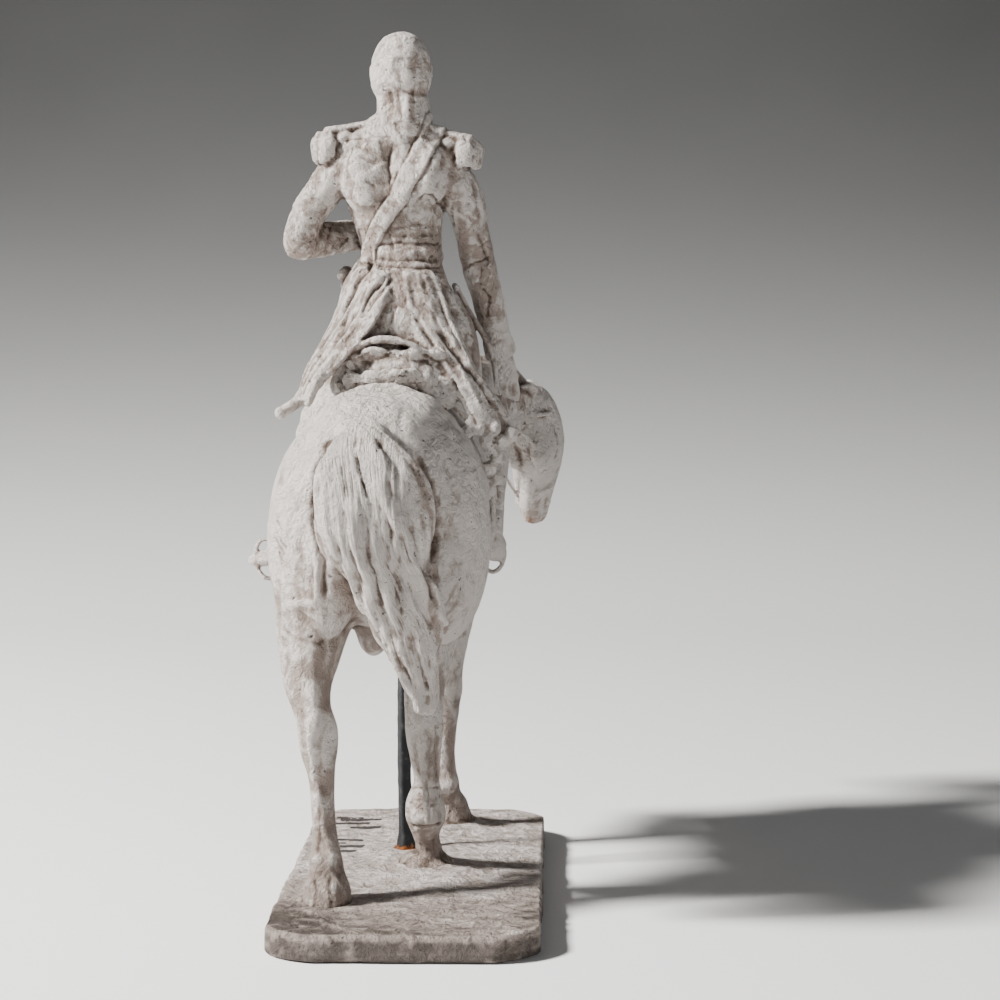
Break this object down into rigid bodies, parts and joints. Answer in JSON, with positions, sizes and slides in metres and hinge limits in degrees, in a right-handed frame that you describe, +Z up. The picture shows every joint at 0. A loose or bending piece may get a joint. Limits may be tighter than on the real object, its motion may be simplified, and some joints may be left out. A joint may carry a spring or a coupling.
{
  "type": "equestrian statuette",
  "caption": "Plaster sketch model of a uniformed rider with epaulettes, sash and long coat tails on a walking horse, on a clipped-corner plinth with an iron prop under the belly.",
  "frame": {"origin": "middle of the plinth's underside, on the surface the statuette stands on", "axes": "+Z up; the horse faces -Y; +X is the horse's left side"},
  "size_m": [0.1819, 0.4154, 0.4808],
  "materials": {
    "cast_plaster": "matt off-white plaster with grey-brown grime in the hollows",
    "plinth_plaster": "matt grey-brown plaster, streaked and mottled with off-white",
    "black_iron": "blackened iron bar, rusted at the foot"
  },
  "bodies": {
    "root": {"plinth": "plinth_plaster", "horse_and_rider": "cast_plaster", "iron_prop": "black_iron"}
  },
  "joints": []
}
